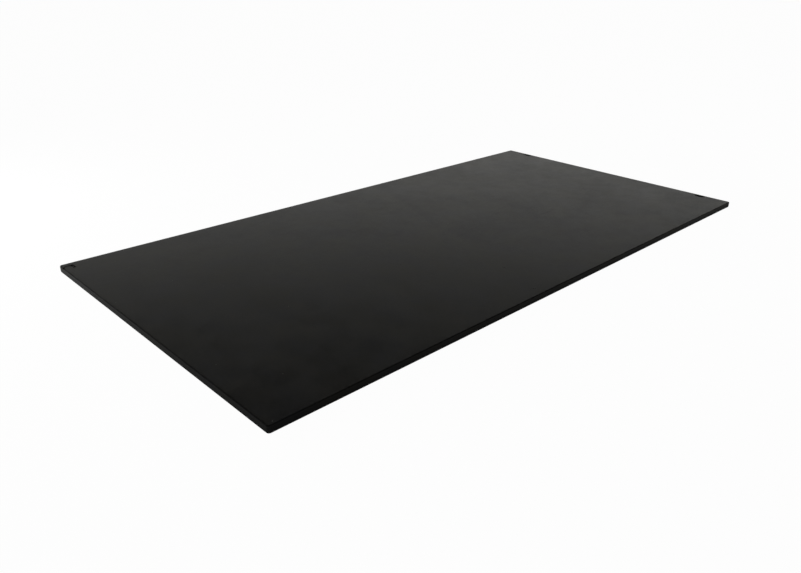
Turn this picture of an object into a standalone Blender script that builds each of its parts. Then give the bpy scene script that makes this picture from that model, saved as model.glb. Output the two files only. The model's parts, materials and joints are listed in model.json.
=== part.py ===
"""Seedling heat mat: a flat rubber slab with a heating cable sealed inside it.

Run with: blender --background --python part.py

Frame: +X runs along the mat to the end with the fixing slots, +Y across it to the side with the supply
socket, +Z up. The origin is on the resting plane, under the middle of the mat. Blender works in metres, so
sizes are written as millimetres times MM.
"""

import math

import bmesh
import bpy
from mathutils import Matrix, Vector

MM = 0.001

# Outer size of the slab
LENGTH = 1220 * MM
WIDTH = 610 * MM
THICKNESS = 11 * MM
PLAN_CORNER = 4 * MM  # radius of the four upright corners
TOP_ROUND = 2.0 * MM
BOTTOM_ROUND = 1.5 * MM

# Solid rubber rim round the cavity, and the rebate that the base cover is bonded into
RIM_END = 26 * MM
RIM_SIDE = 14 * MM
WALL_END = 19 * MM
WALL_SIDE = 6 * MM
CAVITY_CORNER = 5 * MM

# Levels of the layers, from the resting plane up
BASE_LOW = 0.6 * MM
BASE_HIGH = 2.4 * MM
SEAL_LOW = 2.55 * MM
SEAL_HIGH = 2.85 * MM
LEDGE = 3.0 * MM
INSULATION_LOW = 2.7 * MM
INSULATION_HIGH = 4.8 * MM
CARRIER_LOW = 5.05 * MM
CARRIER_HIGH = 5.35 * MM
CABLE_LEVEL = 6.5 * MM
TAPE_LOW = 7.6 * MM
TAPE_HIGH = 7.75 * MM
SPREADER_LOW = 7.9 * MM
SPREADER_HIGH = 8.2 * MM
CAVITY_TOP = 8.6 * MM
FIT = 0.3 * MM  # gap between a piece and the wall beside it
EDGE_GAP = 4 * MM  # space between the sheets inside and the rim

# Anti-slip ribs under the base
RIB_PITCH = 20 * MM
RIB_WIDTH = 7 * MM
RIB_INSET = 12 * MM

# Blank rating plate under the base
PLATE_SIZE = (80 * MM, 46 * MM)
PLATE_AT = (-540 * MM, 240 * MM)

# Fixing slots at the +X end, each with a flanged liner; sizes are (along X, along Y)
SLOT_AT = (599.5 * MM, 240 * MM)
LINER_FLANGE = (13 * MM, 23 * MM)
LINER_BARREL = (9 * MM, 19 * MM)
LINER_BORE = (6.4 * MM, 16.4 * MM)
LINER_SEAT_DEPTH = 1.5 * MM
LINER_FLANGE_HEIGHT = 0.9 * MM
RUNNING = 0.15 * MM  # gap all round a piece in a hole

# Supply socket in the corner at -X, +Y
SOCKET = Vector((-601.5 * MM, 286 * MM, 0))
SOCKET_SEAT_R = 8.0 * MM
SOCKET_SEAT = 7.0 * MM
SOCKET_FLANGE_R = 7.4 * MM
SOCKET_FLANGE = (7.1 * MM, 7.9 * MM)
SOCKET_BARREL_R = 6.4 * MM
SOCKET_FLOOR = 1.8 * MM
SEAL_RING_LEVEL = 6.2 * MM
SEAL_RING_R = 0.5 * MM
WELL = (3.2 * MM, 5.1 * MM)
CHANNEL_HALF = 3.6 * MM
LEAD_LEVEL = 4.1 * MM
LEAD_R = 0.65 * MM
CONTACT_R = 0.9 * MM
CONTACT_BORE_R = 0.5 * MM
CONTACT_LEVELS = (3.45 * MM, 7.5 * MM)
CONTACTS = {"neutral": (-1.0 * MM, 2.6 * MM), "live": (2.6 * MM, 0.0), "earth": (-1.0 * MM, -2.6 * MM)}

# Hinged cap over the socket, flat on the side of its hinge
CAP_R = 7.5 * MM
CAP_FLAT_X = SOCKET.x + 5.6 * MM
CAP_LEVELS = (8.15 * MM, 10.35 * MM)
GASKET_R = (5.25 * MM, 4.25 * MM)
GASKET_LEVELS = (8.0 * MM, 8.6 * MM)
GASKET_PLAY = 0.15 * MM
NAIL_NOTCH_R = 2.4 * MM
NAIL_NOTCH_LEVEL = 9.4 * MM
HINGE_X = SOCKET.x + 8.0 * MM
HINGE_Z = 9.25 * MM
HINGE_PIN_R = 0.55 * MM
HINGE_HOLE_R = 0.62 * MM
KNUCKLE_R = 1.15 * MM
KNUCKLE_HALF = 1.9 * MM
BRIDGE_Z = (HINGE_Z - 0.8 * MM, HINGE_Z + 0.5 * MM)
EAR_X = SOCKET.x + 6.1 * MM
EAR_THICKNESS = 1.3 * MM
EAR_GAP = 0.25 * MM
RELIEF_HALF = 6.6 * MM
RELIEF_X = (SOCKET.x + 2.6 * MM, SOCKET.x + 10.2 * MM)
THUMB_HALF = 3.5 * MM  # half the width of the notch that lets a thumb under the cap
THUMB_LEVEL = 9.0 * MM

# Heating cable: straight runs along X, joined by half-round turns
RUNS = 14
RUN_PITCH = 40 * MM
FIRST_RUN_Y = -270 * MM
TURN_X = 560 * MM
RETURN_X = -574 * MM
CABLE_R = 1.0 * MM
CABLE_WALL = 0.42 * MM
CORE_R = 0.35 * MM
CORE_STRIP = 5 * MM  # bare core beyond the jacket, inside a splice
TAPE_WIDTH = 14 * MM
TAPES_X = (-400 * MM, -200 * MM, 0.0, 200 * MM, 400 * MM)

# Junction tray beside the socket, in a bay cut out of the insulation and the carrier
BAY_X = -466 * MM
BAY_Y = 246 * MM
TRAY_X = (-572 * MM, -478 * MM)
TRAY_Y = (263 * MM, 289.5 * MM)
TRAY_Z = (2.7 * MM, 6.8 * MM)
TRAY_WALL = 1.0 * MM
TRAY_FLOOR = 0.6 * MM
LID_Z = (6.9 * MM, 7.45 * MM)
TRAY_LEVEL = 5.05 * MM  # centre line of everything that lies in the tray
LIVE_Y = 277.5 * MM
NEUTRAL_Y = 285.5 * MM

# Crimped splices in the tray
SPLICE_LENGTH = 18 * MM
SPLICE_LIVE_X = -532 * MM
SPLICE_NEUTRAL_X = -524 * MM
BARREL_R = 1.15 * MM
BARREL_SPAN = (2 * MM, 14.5 * MM)  # from the splice's start
LEAD_GRIP = 7 * MM
CORE_GRIP = 10 * MM
SLEEVE_GAP = 0.12 * MM
SLEEVE_WALL = 0.3 * MM
SLEEVE_OVERHANG = 1.5 * MM
LIVE_TAIL_X = -505 * MM
NEUTRAL_TAIL_X = -490 * MM
LIVE_TAIL_Y = 255 * MM

# Thermal cut-out in the tray
CUTOUT_X = (-562 * MM, -542 * MM)
CUTOUT_HALF = 3.5 * MM
CUTOUT_Z = (3.45 * MM, 6.35 * MM)
CUTOUT_WALL = 0.6 * MM
CUTOUT_FLOOR = 3.95 * MM
CUTOUT_LID = (6.42 * MM, 6.65 * MM)
TAB_HALF = 1.0 * MM
TAB_REACH = 1.5 * MM  # how far a terminal stands out of the case
TAB_LEVELS = (4.07 * MM, 4.37 * MM)
POST_LENGTH = 3 * MM
POST_TOP = 5.08 * MM
ARM_X = (-560.4 * MM, -545.6 * MM)
ARM_Z = (5.2 * MM, 5.4 * MM)
ARM_HALF = 1.5 * MM
ARM_RIVET_X = -559 * MM
ARM_RIVET_R = 0.38 * MM
ARM_RIVET_HEAD_R = 0.9 * MM
BUTTON_X = -547 * MM
BUTTON_R = 1.0 * MM
BUTTON_LEVELS = (4.72 * MM, 4.82 * MM)  # where the fixed and the moving contact face each other

# Earth lug on the underside of the heat spreader
LUG = Vector((-579 * MM, 267 * MM, 7.2 * MM))
LUG_R = 3.0 * MM
LUG_THICKNESS = 0.45 * MM
LUG_TAIL = 5.1 * MM
RIVET_R = 0.9 * MM
RIVET_HEAD_R = 1.8 * MM
RIVET_UPSET_R = 1.6 * MM

# Leads: where they leave the socket's channel and where they enter the tray
LEAD_EXIT_X = -583 * MM
LEAD_ENTRY_X = -575 * MM
LEAD_BEND = 3 * MM

OVER = 2 * MM  # how far a cutter runs past the wall it cuts
ROUND_STEPS = 32
SMALL_STEPS = 20


# ---------------------------------------------------------------- tools


def clear_scene():
    for obj in list(bpy.data.objects):
        bpy.data.objects.remove(obj)


def new_collection(name):
    made = bpy.data.collections.new(name)
    bpy.context.scene.collection.children.link(made)
    return made


def move_to(obj, collection):
    for holder in list(obj.users_collection):
        holder.objects.unlink(obj)
    collection.objects.link(obj)


def finish_part(obj, name, finish):
    """Names a finished part, gives it its material and puts it with the other parts."""
    if obj.type == "MESH":
        obj.data.shade_smooth()
        obj.data.set_sharp_from_angle(angle=math.radians(35))
    obj.name = name
    obj.data.name = name
    obj.data.materials.clear()
    obj.data.materials.append(MATERIALS[finish])
    move_to(obj, PARTS)
    return obj


def helper(obj, name):
    """Turns an object into a cutter or a joined shape, which isn't a part of its own."""
    obj.name = name
    obj.hide_render = True
    obj.display_type = "WIRE"
    move_to(obj, HELPERS)
    return obj


def box(low, high):
    """A box between two corners."""
    low, high = Vector(low), Vector(high)
    bpy.ops.mesh.primitive_cube_add(size=1)
    obj = bpy.context.object
    obj.data.transform(Matrix.Diagonal((*(high - low), 1)))
    obj.location = (low + high) / 2
    return obj


def cylinder(centre, radius, low, high, steps=ROUND_STEPS):
    """An upright cylinder between two levels."""
    bpy.ops.mesh.primitive_cylinder_add(radius=radius, depth=high - low, vertices=steps)
    obj = bpy.context.object
    obj.location = (centre[0], centre[1], (low + high) / 2)
    return obj


def rod(start, end, radius, steps=SMALL_STEPS):
    """A cylinder between two points in any direction."""
    start, end = Vector(start), Vector(end)
    bpy.ops.mesh.primitive_cylinder_add(radius=radius, depth=(end - start).length, vertices=steps)
    obj = bpy.context.object
    obj.rotation_euler = (end - start).to_track_quat("Z", "Y").to_euler()
    obj.location = (start + end) / 2
    return obj


def edges_where(bm, test):
    return [edge for edge in bm.edges if all(test(vert.co) for vert in edge.verts)]


def slab(length, width, low, high, corner, top_round=0.0, bottom_round=0.0, at=(0.0, 0.0)):
    """A flat block with rounded upright corners and, if asked, rounded top and bottom edges."""
    obj = box((-length / 2, -width / 2, low), (length / 2, width / 2, high))
    obj.location.x, obj.location.y = at
    half = (high - low) / 2
    near = 1e-6
    bm = bmesh.new()
    bm.from_mesh(obj.data)
    upright = [e for e in bm.edges if abs(e.verts[0].co.z - e.verts[1].co.z) > half]
    bmesh.ops.bevel(bm, geom=upright, offset=corner, segments=6, profile=0.5, affect="EDGES")
    for level, offset, steps in ((half, top_round, 4), (-half, bottom_round, 2)):
        if offset:
            rim = edges_where(bm, lambda co, z=level: abs(co.z - z) < near)
            bmesh.ops.bevel(bm, geom=rim, offset=offset, segments=steps, profile=0.5, affect="EDGES")
    bm.to_mesh(obj.data)
    bm.free()
    return obj


def oblong(side, size, low, high, margin=0.0):
    """An upright block with nearly half-round ends, at the fixing slot on one side."""
    length, width = (extent + 2 * margin for extent in size)
    return slab(length, width, low, high, 0.49 * length, at=(SLOT_AT[0], side * SLOT_AT[1]))


def rounded_path(corners, radius, steps=8):
    """A polyline through the corners, with an arc of the given radius at each one inside it."""
    corners = [Vector(c) for c in corners]
    points = [corners[0]]
    for before, corner, after in zip(corners, corners[1:], corners[2:]):
        back = (before - corner).normalized()
        on = (after - corner).normalized()
        half_angle = back.angle(on) / 2
        if half_angle > math.radians(89.9):
            continue
        shortest = min((before - corner).length, (after - corner).length)
        r = min(radius, 0.499 * shortest * math.tan(half_angle))
        tangent = r / math.tan(half_angle)
        centre = corner + (back + on).normalized() * r / math.sin(half_angle)
        first = corner + back * tangent - centre
        last = corner + on * tangent - centre
        sweep = first.angle(last)
        count = max(2, round(steps * sweep / math.pi))
        for i in range(count + 1):
            share = i / count
            arm = first * math.sin((1 - share) * sweep) + last * math.sin(share * sweep)
            points.append(centre + arm / math.sin(sweep))
    points.append(corners[-1])
    kept = points[:1]
    for point in points[1:]:
        if (point - kept[-1]).length > 0.05 * MM:
            kept.append(point)
    return kept


def tube(points, radius, caps=True):
    """A round wire along the points."""
    data = bpy.data.curves.new("path", "CURVE")
    data.dimensions = "3D"
    data.bevel_depth = radius
    data.bevel_resolution = 2
    data.use_fill_caps = caps
    spline = data.splines.new("POLY")
    spline.points.add(len(points) - 1)
    for knot, point in zip(spline.points, points):
        knot.co = (*point, 1)
    obj = bpy.data.objects.new("path", data)
    bpy.context.scene.collection.objects.link(obj)
    return obj


def as_mesh(curve):
    """The curve object as a mesh object, with its caps welded on."""
    bpy.context.view_layer.update()
    evaluated = curve.evaluated_get(bpy.context.evaluated_depsgraph_get())
    mesh = bpy.data.meshes.new_from_object(evaluated)
    bm = bmesh.new()
    bm.from_mesh(mesh)
    bmesh.ops.remove_doubles(bm, verts=bm.verts, dist=0.001 * MM)
    bmesh.ops.recalc_face_normals(bm, faces=bm.faces)
    bm.to_mesh(mesh)
    bm.free()
    obj = bpy.data.objects.new("mesh", mesh)
    obj.matrix_world = curve.matrix_world
    bpy.context.scene.collection.objects.link(obj)
    bpy.data.objects.remove(curve)
    return obj


def combine(obj, others, operation):
    """Adds one exact Boolean for each of the other shapes."""
    for other in others:
        helper(other, f"helper_{len(HELPERS.objects):03d}")
        modifier = obj.modifiers.new(operation.title(), "BOOLEAN")
        modifier.operation = operation
        modifier.object = other
    return obj


def cut(obj, *others):
    return combine(obj, others, "DIFFERENCE")


def join(obj, *others):
    return combine(obj, others, "UNION")


def ring(centre, outer, inner, low, high, steps=ROUND_STEPS):
    """A flat ring: a turned profile round an upright axis."""
    corners = ((outer, high), (outer, low), (inner, low), (inner, high))
    mesh = bpy.data.meshes.new("ring")
    bm = bmesh.new()
    verts = [bm.verts.new((radius, 0, level)) for radius, level in corners]
    for a, b in zip(verts, verts[1:] + verts[:1]):
        bm.edges.new((a, b))
    bm.to_mesh(mesh)
    bm.free()
    obj = bpy.data.objects.new("ring", mesh)
    bpy.context.scene.collection.objects.link(obj)
    obj.location = (centre[0], centre[1], 0)
    turn = obj.modifiers.new("Screw", "SCREW")
    turn.steps = turn.render_steps = steps
    turn.use_merge_vertices = True
    turn.merge_threshold = 0.001 * MM
    return obj


# ---------------------------------------------------------------- materials

FINISHES = {
    # name: (colour, roughness, metallic)
    "black_rubber": ((0.020, 0.020, 0.019), 0.42, 0.0),
    "black_nylon": ((0.022, 0.022, 0.023), 0.50, 0.0),
    "grey_seal": ((0.08, 0.08, 0.08), 0.65, 0.0),
    "white_foam": ((0.78, 0.77, 0.72), 0.90, 0.0),
    "glass_cloth": ((0.74, 0.70, 0.55), 0.80, 0.0),
    "aluminium": ((0.80, 0.80, 0.82), 0.30, 1.0),
    "red_silicone": ((0.55, 0.05, 0.03), 0.45, 0.0),
    "resistance_wire": ((0.42, 0.40, 0.38), 0.35, 1.0),
    "brass": ((0.78, 0.57, 0.22), 0.30, 1.0),
    "steel": ((0.60, 0.60, 0.62), 0.30, 1.0),
    "bimetal": ((0.62, 0.54, 0.42), 0.35, 1.0),
    "brown_wire": ((0.20, 0.09, 0.04), 0.45, 0.0),
    "blue_wire": ((0.04, 0.14, 0.42), 0.45, 0.0),
    "green_wire": ((0.10, 0.34, 0.08), 0.45, 0.0),
    "tan_plastic": ((0.50, 0.42, 0.30), 0.55, 0.0),
    "clear_sleeve": ((0.10, 0.10, 0.11), 0.40, 0.0),
    "silver_plate": ((0.55, 0.55, 0.56), 0.40, 0.8),
}


def make_materials():
    made = {}
    for name, (colour, roughness, metallic) in FINISHES.items():
        material = bpy.data.materials.new(name)
        material.use_nodes = True
        shader = material.node_tree.nodes["Principled BSDF"]
        shader.inputs["Base Color"].default_value = (*colour, 1)
        shader.inputs["Roughness"].default_value = roughness
        shader.inputs["Metallic"].default_value = metallic
        made[name] = material
    return made


# ---------------------------------------------------------------- covers


def make_top_cover():
    """The moulded rubber top: skin, rim, the seats for the liners and the socket, and the wiring channel."""
    cover = slab(LENGTH, WIDTH, 0, THICKNESS, PLAN_CORNER, TOP_ROUND, BOTTOM_ROUND)
    cavity = slab(LENGTH - 2 * RIM_END, WIDTH - 2 * RIM_SIDE, -OVER, CAVITY_TOP, CAVITY_CORNER)
    rebate = slab(LENGTH - 2 * WALL_END, WIDTH - 2 * WALL_SIDE, -OVER, LEDGE, CAVITY_CORNER)
    socket_seat = cylinder(SOCKET, SOCKET_SEAT_R, SOCKET_SEAT, THICKNESS + OVER, 48)
    socket_bore = cylinder(SOCKET, SOCKET_BARREL_R + RUNNING, SOCKET_FLOOR - FIT, THICKNESS, 40)
    relief = box(
        (RELIEF_X[0], SOCKET.y - RELIEF_HALF, SOCKET_SEAT),
        (RELIEF_X[1], SOCKET.y + RELIEF_HALF, THICKNESS + OVER),
    )
    thumb_notch = box(
        (-LENGTH / 2 - OVER, SOCKET.y - THUMB_HALF, THUMB_LEVEL),
        (SOCKET.x, SOCKET.y + THUMB_HALF, THICKNESS + OVER),
    )
    channel = box(
        (SOCKET.x, SOCKET.y - CHANNEL_HALF, WELL[0]),
        (-LENGTH / 2 + RIM_END + OVER, SOCKET.y + CHANNEL_HALF, WELL[1]),
    )
    cut(cover, cavity, rebate, socket_seat, socket_bore, relief, thumb_notch, channel)
    for side in (1, -1):
        opening = oblong(side, LINER_BARREL, -OVER, THICKNESS + OVER, RUNNING)
        seat = oblong(side, LINER_FLANGE, THICKNESS - LINER_SEAT_DEPTH, THICKNESS + OVER, RUNNING)
        cut(cover, opening, seat)
    return finish_part(cover, "top_cover", "black_rubber")


def make_base_cover():
    """The rubber sheet that closes the cavity, ribbed underneath except where the rating plate lies."""
    length = LENGTH - 2 * WALL_END - 2 * FIT
    width = WIDTH - 2 * WALL_SIDE - 2 * FIT
    base = slab(length, width, BASE_LOW, BASE_HIGH, CAVITY_CORNER)
    count = int((width - 2 * RIB_INSET) / RIB_PITCH)
    rib_end = length / 2 - RIB_INSET
    clear_half = PLATE_SIZE[1] / 2 + 2 * MM
    clear_x = PLATE_AT[0] + PLATE_SIZE[0] / 2 + 2 * MM
    for i in range(count + 1):
        y = (i - count / 2) * RIB_PITCH
        blocked = abs(y - PLATE_AT[1]) < clear_half + RIB_WIDTH / 2
        start = clear_x if blocked else -rib_end
        join(base, box((start, y - RIB_WIDTH / 2, 0), (rib_end, y + RIB_WIDTH / 2, BASE_LOW + FIT)))
    return finish_part(base, "base_cover", "black_rubber")


def make_rim_seal():
    """The bead of sealant between the base cover and the ledge of the rim."""
    outer = slab(
        LENGTH - 2 * WALL_END - 2 * FIT, WIDTH - 2 * WALL_SIDE - 2 * FIT, SEAL_LOW, SEAL_HIGH, CAVITY_CORNER
    )
    inner = slab(
        LENGTH - 2 * RIM_END + 2 * FIT, WIDTH - 2 * RIM_SIDE + 2 * FIT, 0, CAVITY_TOP, CAVITY_CORNER
    )
    return finish_part(cut(outer, inner), "rim_seal", "grey_seal")


def make_rating_plate():
    plate = slab(*PLATE_SIZE, 0.2 * MM, BASE_LOW - 0.1 * MM, 3 * MM, at=PLATE_AT)
    return finish_part(plate, "rating_plate", "silver_plate")


def make_slot_liner(side, name):
    """A flanged nylon liner in one fixing slot."""
    seat = THICKNESS - LINER_SEAT_DEPTH + 0.1 * MM
    liner = oblong(side, LINER_BARREL, BASE_LOW, seat + LINER_FLANGE_HEIGHT / 2)
    join(liner, oblong(side, LINER_FLANGE, seat, seat + LINER_FLANGE_HEIGHT))
    cut(liner, oblong(side, LINER_BORE, -OVER, THICKNESS + OVER))
    return finish_part(liner, name, "black_nylon")


# ---------------------------------------------------------------- heating layers


def inner_sheet(low, high):
    """A sheet that fills the cavity, clear of the rim."""
    length = LENGTH - 2 * RIM_END - 2 * EDGE_GAP
    width = WIDTH - 2 * RIM_SIDE - 2 * EDGE_GAP
    return slab(length, width, low, high, CAVITY_CORNER)


def bay():
    """The corner that the sheets leave free for the junction tray."""
    return box((-LENGTH / 2, BAY_Y, 0), (BAY_X, WIDTH / 2, THICKNESS))


def make_layers():
    insulation = cut(inner_sheet(INSULATION_LOW, INSULATION_HIGH), bay())
    finish_part(insulation, "insulation_sheet", "white_foam")
    carrier = cut(inner_sheet(CARRIER_LOW, CARRIER_HIGH), bay())
    finish_part(carrier, "element_carrier", "glass_cloth")
    spreader = slab(
        LENGTH - 2 * RIM_END - 2 * FIT,
        WIDTH - 2 * RIM_SIDE - 2 * EDGE_GAP,
        SPREADER_LOW,
        SPREADER_HIGH,
        CAVITY_CORNER,
    )
    cut(spreader, cylinder(LUG, RIVET_R + RUNNING, 0, THICKNESS, SMALL_STEPS))
    finish_part(spreader, "heat_spreader", "aluminium")


def cable_corners():
    """The corners of the cable's path, from its live end in the tray to its neutral end there."""
    live_end = Vector((SPLICE_LIVE_X + SPLICE_LENGTH, LIVE_Y, TRAY_LEVEL))
    neutral_end = Vector((SPLICE_NEUTRAL_X + SPLICE_LENGTH, NEUTRAL_Y, TRAY_LEVEL))
    corners = [
        live_end,
        (LIVE_TAIL_X, LIVE_Y, TRAY_LEVEL),
        (LIVE_TAIL_X, LIVE_TAIL_Y, TRAY_LEVEL),
        (RETURN_X + 14 * MM, LIVE_TAIL_Y, CABLE_LEVEL),
        (RETURN_X, LIVE_TAIL_Y, CABLE_LEVEL),
        (RETURN_X, FIRST_RUN_Y, CABLE_LEVEL),
    ]
    for i in range(RUNS):
        y = FIRST_RUN_Y + i * RUN_PITCH
        heads_right = i % 2 == 0
        start, end = (-TURN_X, TURN_X) if heads_right else (TURN_X, -TURN_X)
        if i > 0:
            corners.append((start, y, CABLE_LEVEL))
        if i < RUNS - 1:
            corners.append((end, y, CABLE_LEVEL))
    last_y = FIRST_RUN_Y + (RUNS - 1) * RUN_PITCH
    corners += [
        (BAY_X - 1 * MM, last_y, CABLE_LEVEL),
        (NEUTRAL_TAIL_X + 7 * MM, last_y, TRAY_LEVEL),
        (NEUTRAL_TAIL_X, last_y, TRAY_LEVEL),
        (NEUTRAL_TAIL_X, NEUTRAL_Y, TRAY_LEVEL),
        neutral_end,
    ]
    return corners


def turn_radius(corner_index, count):
    """Tails bend tightly inside the bay, and the runs join in full half circles."""
    tail = corner_index < 5 or corner_index > count - 6
    return 4 * MM if tail else RUN_PITCH / 2


def cable_path():
    corners = [Vector(c) for c in cable_corners()]
    points = [corners[0]]
    for i in range(1, len(corners) - 1):
        bend = rounded_path(
            [(corners[i - 1] + corners[i]) / 2, corners[i], (corners[i] + corners[i + 1]) / 2],
            turn_radius(i, len(corners)),
            steps=6,
        )
        points += bend[1:-1]
    points.append(corners[-1])
    kept = points[:1]
    for point in points[1:]:
        if (point - kept[-1]).length > 0.05 * MM:
            kept.append(point)
    return kept


def make_heating_cable():
    path = cable_path()
    core = tube(path, CORE_R)
    finish_part(core, "heating_core", "resistance_wire")
    first_way = (path[1] - path[0]).normalized()
    last_way = (path[-2] - path[-1]).normalized()
    strip = CORE_STRIP / 2
    covered = [path[0] + first_way * strip] + path[1:-1] + [path[-1] + last_way * strip]
    jacket = as_mesh(tube(covered, CABLE_R, caps=False))
    wall = jacket.modifiers.new("Wall", "SOLIDIFY")
    wall.thickness = CABLE_WALL
    wall.offset = -1
    finish_part(jacket, "heating_cable_jacket", "red_silicone")


def make_tapes():
    """Strips of glass tape that hold the cable down on its carrier."""
    reach = WIDTH / 2 - RIM_SIDE - EDGE_GAP - 6 * MM
    for number, x in enumerate(TAPES_X, 1):
        strip = box((x - TAPE_WIDTH / 2, -reach, TAPE_LOW), (x + TAPE_WIDTH / 2, reach, TAPE_HIGH))
        finish_part(strip, f"fixing_tape_{number}", "glass_cloth")


# ---------------------------------------------------------------- supply socket


def contact_at(name):
    dx, dy = CONTACTS[name]
    return Vector((SOCKET.x + dx, SOCKET.y + dy, 0))


def make_socket_body():
    """The moulded socket: barrel and flange, with two ears for the cap's hinge and a well for the leads."""
    body = cylinder(SOCKET, SOCKET_BARREL_R, SOCKET_FLOOR, SOCKET_FLANGE[0] + 0.2 * MM, 40)
    join(body, cylinder(SOCKET, SOCKET_FLANGE_R, *SOCKET_FLANGE, 48))
    for side in (1, -1):
        inner = SOCKET.y + side * (KNUCKLE_HALF + EAR_GAP)
        outer = inner + side * EAR_THICKNESS
        low_y, high_y = min(inner, outer), max(inner, outer)
        foot = box((EAR_X, low_y, SOCKET_FLANGE[0] + 0.1 * MM), (HINGE_X + KNUCKLE_R, high_y, HINGE_Z))
        head = rod((HINGE_X, low_y, HINGE_Z), (HINGE_X, high_y, HINGE_Z), KNUCKLE_R)
        join(body, foot, head)
    reach = KNUCKLE_HALF + EAR_GAP + EAR_THICKNESS + OVER
    pin_hole = rod(
        (HINGE_X, SOCKET.y - reach, HINGE_Z), (HINGE_X, SOCKET.y + reach, HINGE_Z), HINGE_HOLE_R
    )
    well = box(
        (SOCKET.x - 3.2 * MM, SOCKET.y - CHANNEL_HALF, WELL[0]),
        (SOCKET.x + SOCKET_BARREL_R + OVER, SOCKET.y + CHANNEL_HALF, WELL[1]),
    )
    cut(body, pin_hole, well)
    groove_r = SOCKET_BARREL_R - 2 * SEAL_RING_R
    groove = ring(
        SOCKET, SOCKET_BARREL_R + OVER, groove_r, SEAL_RING_LEVEL - 0.6 * MM, SEAL_RING_LEVEL + 0.6 * MM, 40
    )
    cut(body, groove)
    for name in CONTACTS:
        cut(body, cylinder(contact_at(name), CONTACT_R + RUNNING, WELL[1] - 0.5 * MM, THICKNESS, 20))
    return finish_part(body, "socket_body", "black_nylon")


def make_socket_seal():
    """The O-ring in the barrel's groove."""
    radius = SOCKET_BARREL_R + RUNNING - SEAL_RING_R - 0.06 * MM
    bpy.ops.mesh.primitive_torus_add(
        major_radius=radius, minor_radius=SEAL_RING_R * 0.9, major_segments=32, minor_segments=8
    )
    seal = bpy.context.object
    seal.location = (SOCKET.x, SOCKET.y, SEAL_RING_LEVEL)
    return finish_part(seal, "socket_seal", "grey_seal")


def make_contacts():
    for name in CONTACTS:
        at = contact_at(name)
        contact = cylinder(at, CONTACT_R, *CONTACT_LEVELS, 20)
        cut(contact, cylinder(at, CONTACT_BORE_R, CONTACT_LEVELS[0] + 1.5 * MM, THICKNESS, 14))
        finish_part(contact, f"contact_{name}", "brass")


def make_cap(hinge):
    """The hinged cap: a disc with one flat side, its knuckle, its gasket and a notch for a fingernail."""
    cap = cylinder(SOCKET, CAP_R, *CAP_LEVELS, 48)
    flat_side = box(
        (CAP_FLAT_X, SOCKET.y - CAP_R, CAP_LEVELS[0] - OVER),
        (SOCKET.x + CAP_R + OVER, SOCKET.y + CAP_R, CAP_LEVELS[1] + OVER),
    )
    cut(cap, flat_side)
    knuckle = rod(
        (HINGE_X, SOCKET.y - KNUCKLE_HALF, HINGE_Z), (HINGE_X, SOCKET.y + KNUCKLE_HALF, HINGE_Z), KNUCKLE_R
    )
    bridge = box(
        (CAP_FLAT_X - FIT, SOCKET.y - KNUCKLE_HALF, BRIDGE_Z[0]),
        (HINGE_X, SOCKET.y + KNUCKLE_HALF, BRIDGE_Z[1]),
    )
    join(cap, bridge, knuckle)
    pin_hole = rod(
        (HINGE_X, SOCKET.y - RELIEF_HALF, HINGE_Z), (HINGE_X, SOCKET.y + RELIEF_HALF, HINGE_Z), HINGE_HOLE_R
    )
    groove = ring(
        SOCKET,
        GASKET_R[0] + GASKET_PLAY,
        GASKET_R[1] - GASKET_PLAY,
        CAP_LEVELS[0] - OVER,
        GASKET_LEVELS[1] + GASKET_PLAY,
        40,
    )
    nail_notch = cylinder((SOCKET.x - CAP_R - FIT, SOCKET.y), NAIL_NOTCH_R, NAIL_NOTCH_LEVEL, THICKNESS, 28)
    cut(cap, pin_hole, groove, nail_notch)
    finish_part(cap, "socket_cap", "black_rubber")
    gasket = ring(SOCKET, *GASKET_R, *GASKET_LEVELS, 40)
    finish_part(gasket, "cap_gasket", "grey_seal")
    for piece in (cap, gasket):
        piece.parent = hinge
        piece.matrix_parent_inverse = Matrix.Translation(-hinge.location)


def make_hinge_pin():
    reach = KNUCKLE_HALF + EAR_GAP + EAR_THICKNESS
    pin = rod((HINGE_X, SOCKET.y - reach, HINGE_Z), (HINGE_X, SOCKET.y + reach, HINGE_Z), HINGE_PIN_R)
    return finish_part(pin, "cap_hinge_pin", "steel")


# ---------------------------------------------------------------- junction tray


def slot(x, y, half_x, half_y, low):
    """A cutter for an open-topped slot in a tray wall."""
    return box((x - half_x, y - half_y, low), (x + half_x, y + half_y, LID_Z[0]))


def make_tray():
    outer = box((TRAY_X[0], TRAY_Y[0], TRAY_Z[0]), (TRAY_X[1], TRAY_Y[1], TRAY_Z[1]))
    inner = box(
        (TRAY_X[0] + TRAY_WALL, TRAY_Y[0] + TRAY_WALL, TRAY_Z[0] + TRAY_FLOOR),
        (TRAY_X[1] - TRAY_WALL, TRAY_Y[1] - TRAY_WALL, THICKNESS),
    )
    cable_half = CABLE_R + FIT
    lead_half = LEAD_R + FIT
    slots = [
        slot(LIVE_TAIL_X, TRAY_Y[0], cable_half, OVER, TRAY_LEVEL - cable_half),
        slot(NEUTRAL_TAIL_X, TRAY_Y[0], cable_half, OVER, TRAY_LEVEL - cable_half),
        slot(TRAY_X[0], LIVE_Y, OVER, lead_half, TRAY_Z[0] + TRAY_FLOOR),
        slot(TRAY_X[0], NEUTRAL_Y, OVER, lead_half, TRAY_Z[0] + TRAY_FLOOR),
    ]
    finish_part(cut(outer, inner, *slots), "junction_tray", "tan_plastic")
    lid = box((TRAY_X[0], TRAY_Y[0], LID_Z[0]), (TRAY_X[1], TRAY_Y[1], LID_Z[1]))
    finish_part(lid, "junction_lid", "tan_plastic")


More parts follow.
